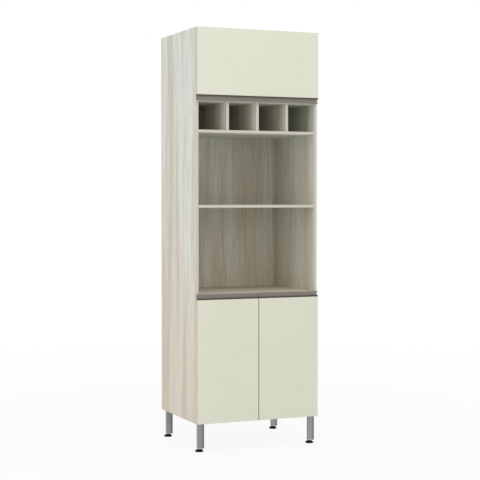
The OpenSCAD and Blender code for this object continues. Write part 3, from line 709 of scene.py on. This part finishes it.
class CABINET_OT_handles(bpy.types.Operator):
    """Give the handle profiles their anodised finish, rounded lips and a painted shadow strip
    beside the panels
    """

    bl_idname = "cabinet.handles"
    bl_label = "Handle profiles"

    def execute(self, context):
        look = context.scene.cabinet_metal
        body = drawn_aluminium("anodised_aluminium", look.aluminium, LEVEL, look)
        # A darker copy of the aluminium paints the shadow beside each panel
        painted_shadow = drawn_aluminium(
            "anodised_aluminium_dark", look.shadow_line, LEVEL, look, roughness=0.5)
        for node in HANDLES:
            low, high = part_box(node)
            hangs = node == "flap_handle"
            panel_edge = high.z - TONGUE_LENGTH if hangs else low.z + TONGUE_LENGTH
            strip_end = panel_edge + (-look.strip_height if hangs else look.strip_height)

            # Front faces next to the panel's edge take the painted shadow
            def strip(normal, centre, panel_edge=panel_edge, front=low.y):
                beside = abs(centre.z - panel_edge) < look.strip_height
                in_front = centre.y < front + STRIP_DEPTH and normal.y < -FACING_LOOSELY
                return 1 if beside and in_front else 0

            rounded_copy(node, [body, painted_shadow], look.profile_radius,
                         shortest=0.5 * MM, pick=strip, cut_z=strip_end)
        return {"FINISHED"}


class CABINET_OT_legs(bpy.types.Operator):
    """Finish the four square legs, with painted shade on their fins, and their plugs"""

    bl_idname = "cabinet.legs"
    bl_label = "Legs"

    def execute(self, context):
        look = context.scene.cabinet_metal
        metal = drawn_aluminium("anodised_aluminium_leg", look.leg, UPRIGHT, look, 0.45)
        # The fins take a darker copy of the leg's aluminium as painted shade
        painted_fin_shade = drawn_aluminium("anodised_aluminium_fin", look.painted_fin_shade, UPRIGHT, look, 0.45)
        for place in LEG_PLACES:
            low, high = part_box(place + "_leg")
            fin_start = low.x + (high.y - low.y) + 1 * MM

            # Faces right of the square tube belong to the fin and take the painted shade
            def on_fin(normal, centre, fin_start=fin_start):
                return 1 if centre.x > fin_start else 0

            rounded_copy(place + "_leg", [metal, painted_fin_shade], look.profile_radius,
                         shortest=0.5 * MM, pick=on_fin)
        collar = moulded_plastic(
            "moulded_polypropylene_grey", context.scene.cabinet_feet.collar, roughness=0.5)
        rounded_copy("leg_plugs", [collar], radius=0.4 * MM, shortest=2 * MM)
        return {"FINISHED"}


class CABINET_OT_feet(bpy.types.Operator):
    """Turn the fluted feet and cut the threads of their studs"""

    bl_idname = "cabinet.feet"
    bl_label = "Levelling feet"

    def execute(self, context):
        look = context.scene.cabinet_feet
        plastic = moulded_plastic(
            "moulded_polyamide_black", look.foot, roughness=0.6, specular=0.15)
        steel = plated_steel("zinc_plated_thread", context.scene.cabinet_metal.steel)
        for place in LEG_PLACES:
            low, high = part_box(place + "_foot")
            stud_low, stud_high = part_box(place + "_stud")
            centre = Vector(((low.x + high.x) / 2, (low.y + high.y) / 2, low.z))
            rim = (high.x - low.x) / 2
            top = high.z - low.z
            hole = (stud_high.x - stud_low.x) / 2 + STUD_CLEARANCE
            hole_floor = stud_low.z - low.z
            outline = [(0, 0)]
            outline += [(rim - step * MM, height * MM) for step, height in FOOT_RIM]
            outline += [(radius * MM, height * MM) for radius, height in FOOT_DOME]
            outline += [(radius * MM, top - below * MM) for radius, below in FOOT_NECK]
            outline += [(hole, top), (hole, hole_floor), (0, hole_floor)]

            def fluted(shape, outline=outline, centre=centre, rim=rim):
                turned(shape, outline, centre, Vector((0, 0, 1)), FOOT_STEPS,
                       look.flutes, look.flute_depth, flute_from=rim - FLUTED_RIM)

            foot = new_piece(place + "_fluted_foot", fluted)
            foot.data.materials.append(plastic)
            smooth(foot, sharp_degrees=45)
            settle(foot, place + "_foot")

            def thread(shape, low=stud_low, high=stud_high):
                cut_thread(shape, low, high, look.pitch)

            stud = new_piece(place + "_threaded_stud", thread)
            stud.data.materials.append(steel)
            smooth(stud, sharp_degrees=60)
            settle(stud, place + "_stud")
        return {"FINISHED"}


class CABINET_OT_hinges_and_plates(bpy.types.Operator):
    """Plate the cup hinges, the brackets and the plates and round their edges"""

    bl_idname = "cabinet.hinges_and_plates"
    bl_label = "Hinges and plates"

    def execute(self, context):
        look = context.scene.cabinet_metal
        steel = plated_steel("nickel_plated_steel", look.steel)
        for node in PRESSED_STEEL:
            rounded_copy(node, [steel], look.steel_radius, turn=60.0)
        return {"FINISHED"}


class CABINET_OT_struts(bpy.types.Operator):
    """Enamel the gas struts' tubes and chrome their rods"""

    bl_idname = "cabinet.struts"
    bl_label = "Gas struts"

    def execute(self, context):
        look = context.scene.cabinet_metal
        enamel = moulded_plastic("black_enamel", look.tube, roughness=0.28, pebble_size=2 * MM)
        chrome = plated_steel("hard_chromed_rod", look.steel)
        for side in ("left", "right"):
            rounded_copy(side + "_strut_tube", [enamel], radius=0.8 * MM, turn=60.0)
            rounded_copy(side + "_strut_rod", [chrome], radius=0.4 * MM, turn=60.0)
        return {"FINISHED"}


class CABINET_OT_fastenings(bpy.types.Operator):
    """Finish the screws, nails and cams, and mould the soft bumpers"""

    bl_idname = "cabinet.fastenings"
    bl_label = "Fastenings"

    def execute(self, context):
        steel = plated_steel("zinc_plated_steel", context.scene.cabinet_metal.steel)
        for node in FASTENERS:
            paint(node, steel)

        def domes(shape):
            for low, high in solid_boxes("door_bumpers"):
                radius = (high.x - low.x) / 2
                thick = high.y - low.y
                origin = Vector(((low.x + high.x) / 2, high.y, (low.z + high.z) / 2))
                outline = [(0, 0), (radius, 0)]
                for step in range(DOME_STEPS):
                    rise = math.pi / 2 * step / DOME_STEPS
                    share = BUMPER_WALL + (1 - BUMPER_WALL) * math.sin(rise)
                    outline.append((radius * math.cos(rise), thick * share))
                outline.append((0, thick))
                turned(shape, outline, origin, Vector((0, -1, 0)), BUMPER_STEPS)

        piece = new_piece("domed_bumpers", domes)
        vinyl = soft_vinyl("clear_soft_vinyl", context.scene.cabinet_feet.bumper)
        piece.data.materials.append(vinyl)
        smooth(piece, sharp_degrees=45)
        settle(piece, "door_bumpers")
        return {"FINISHED"}


class CABINET_OT_stage(bpy.types.Operator):
    """Set up the camera, the soft lamps, the world and the pale floor"""

    bl_idname = "cabinet.stage"
    bl_label = "Stage"

    def execute(self, context):
        look = context.scene.cabinet_stage
        scene = context.scene
        lens = bpy.data.cameras.new("photo_view")
        lens.lens = look.lens
        lens.sensor_width = 36
        camera = bpy.data.objects.new("photo_view", lens)
        camera.location = look.spot
        camera.rotation_euler = (look.tilt, 0, look.heading)
        scene.collection.objects.link(camera)
        scene.camera = camera
        for name, power, place, width, height in LAMPS:
            lamp = bpy.data.lights.new(name, "AREA")
            lamp.shape = "RECTANGLE"
            lamp.size = width
            lamp.size_y = height
            lamp.energy = getattr(look, power)
            stand = bpy.data.objects.new(name, lamp)
            stand.location = place
            aim = LAMPS_LOOK_AT - stand.location
            stand.rotation_euler = aim.to_track_quat("-Z", "Y").to_euler()
            scene.collection.objects.link(stand)

        world = bpy.data.worlds.new("pale_room")
        scene.world = world
        world.use_nodes = True
        tree = world.node_tree
        room = tree.nodes["Background"]
        room.inputs[0].default_value = linear("#FFFFFF")
        room.inputs[1].default_value = look.world_level
        white = add(tree, "ShaderNodeBackground", {0: linear("#FFFFFF"), 1: 1.0})
        mixed = add(tree, "ShaderNodeMixShader",
                    {0: seen_rays(tree), 1: room.outputs[0], 2: white.outputs[0]})
        tree.links.new(mixed.outputs[0], tree.nodes["World Output"].inputs[0])

        def sheet(shape):
            corners = ((-1, -1), (1, -1), (1, 1), (-1, 1))
            shape.faces.new([
                shape.verts.new((x * FLOOR_REACH, y * FLOOR_REACH, 0)) for x, y in corners])

        floor = new_piece("pale_floor", sheet)
        finish, tree, shader, spot = material_of(
            "pale_floor_paper", Base_Color=linear("#DFDFDF"), Roughness=0.9)
        glow = add(tree, "ShaderNodeEmission", {0: linear("#FFFFFF"), 1: 1.0})
        # The paper's shade fades out away from the cabinet
        away = add(tree, "ShaderNodeVectorMath", {0: spot}, operation="LENGTH")
        paleness = add(tree, "ShaderNodeMapRange", {
            0: away.outputs[1], 1: FLOOR_FADE[0], 2: FLOOR_FADE[1],
            3: look.floor_glow, 4: 1.0})
        lifted = add(tree, "ShaderNodeMath",
                     {0: seen_rays(tree), 1: paleness.outputs[0]}, operation="MULTIPLY")
        mixed = add(tree, "ShaderNodeMixShader",
                    {0: lifted.outputs[0], 1: shader.outputs[0], 2: glow.outputs[0]})
        tree.links.new(mixed.outputs[0], tree.nodes["Material Output"].inputs[0])
        floor.data.materials.append(finish)
        scene.view_settings.view_transform = "Standard"
        return {"FINISHED"}


class CABINET_PT_pieces(bpy.types.Panel):
    """Sidebar panel that lists the cabinet's pieces and what can be changed"""

    bl_idname = "CABINET_PT_pieces"
    bl_label = "Tall Kitchen Cabinet"
    bl_space_type = "VIEW_3D"
    bl_region_type = "UI"
    bl_category = "Cabinet"

    def draw(self, context):
        for group in SETTINGS:
            box = self.layout.box()
            settings = getattr(context.scene, group)
            for name in settings.__annotations__:
                box.prop(settings, name)
        for operator in OPERATORS:
            self.layout.operator(operator.bl_idname)


SETTINGS = {
    "cabinet_boards": BoardSettings,
    "cabinet_doors": DoorSettings,
    "cabinet_metal": MetalSettings,
    "cabinet_feet": FootSettings,
    "cabinet_stage": StageSettings,
}
OPERATORS = (
    CABINET_OT_stage, CABINET_OT_boards, CABINET_OT_back_sheets, CABINET_OT_doors,
    CABINET_OT_handles, CABINET_OT_legs, CABINET_OT_feet, CABINET_OT_hinges_and_plates,
    CABINET_OT_struts, CABINET_OT_fastenings,
)


def register():
    for made in (*SETTINGS.values(), *OPERATORS, CABINET_PT_pieces):
        bpy.utils.register_class(made)
    for name, group in SETTINGS.items():
        setattr(bpy.types.Scene, name, PointerProperty(type=group))


def unregister():
    for name in SETTINGS:
        delattr(bpy.types.Scene, name)
    for made in reversed((*SETTINGS.values(), *OPERATORS, CABINET_PT_pieces)):
        bpy.utils.unregister_class(made)


def main():
    register()
    bpy.ops.cabinet.stage()
    bpy.ops.cabinet.boards()
    bpy.ops.cabinet.back_sheets()
    bpy.ops.cabinet.doors()
    bpy.ops.cabinet.handles()
    bpy.ops.cabinet.legs()
    bpy.ops.cabinet.feet()
    bpy.ops.cabinet.hinges_and_plates()
    bpy.ops.cabinet.struts()
    bpy.ops.cabinet.fastenings()


if __name__ == "__main__":
    main()
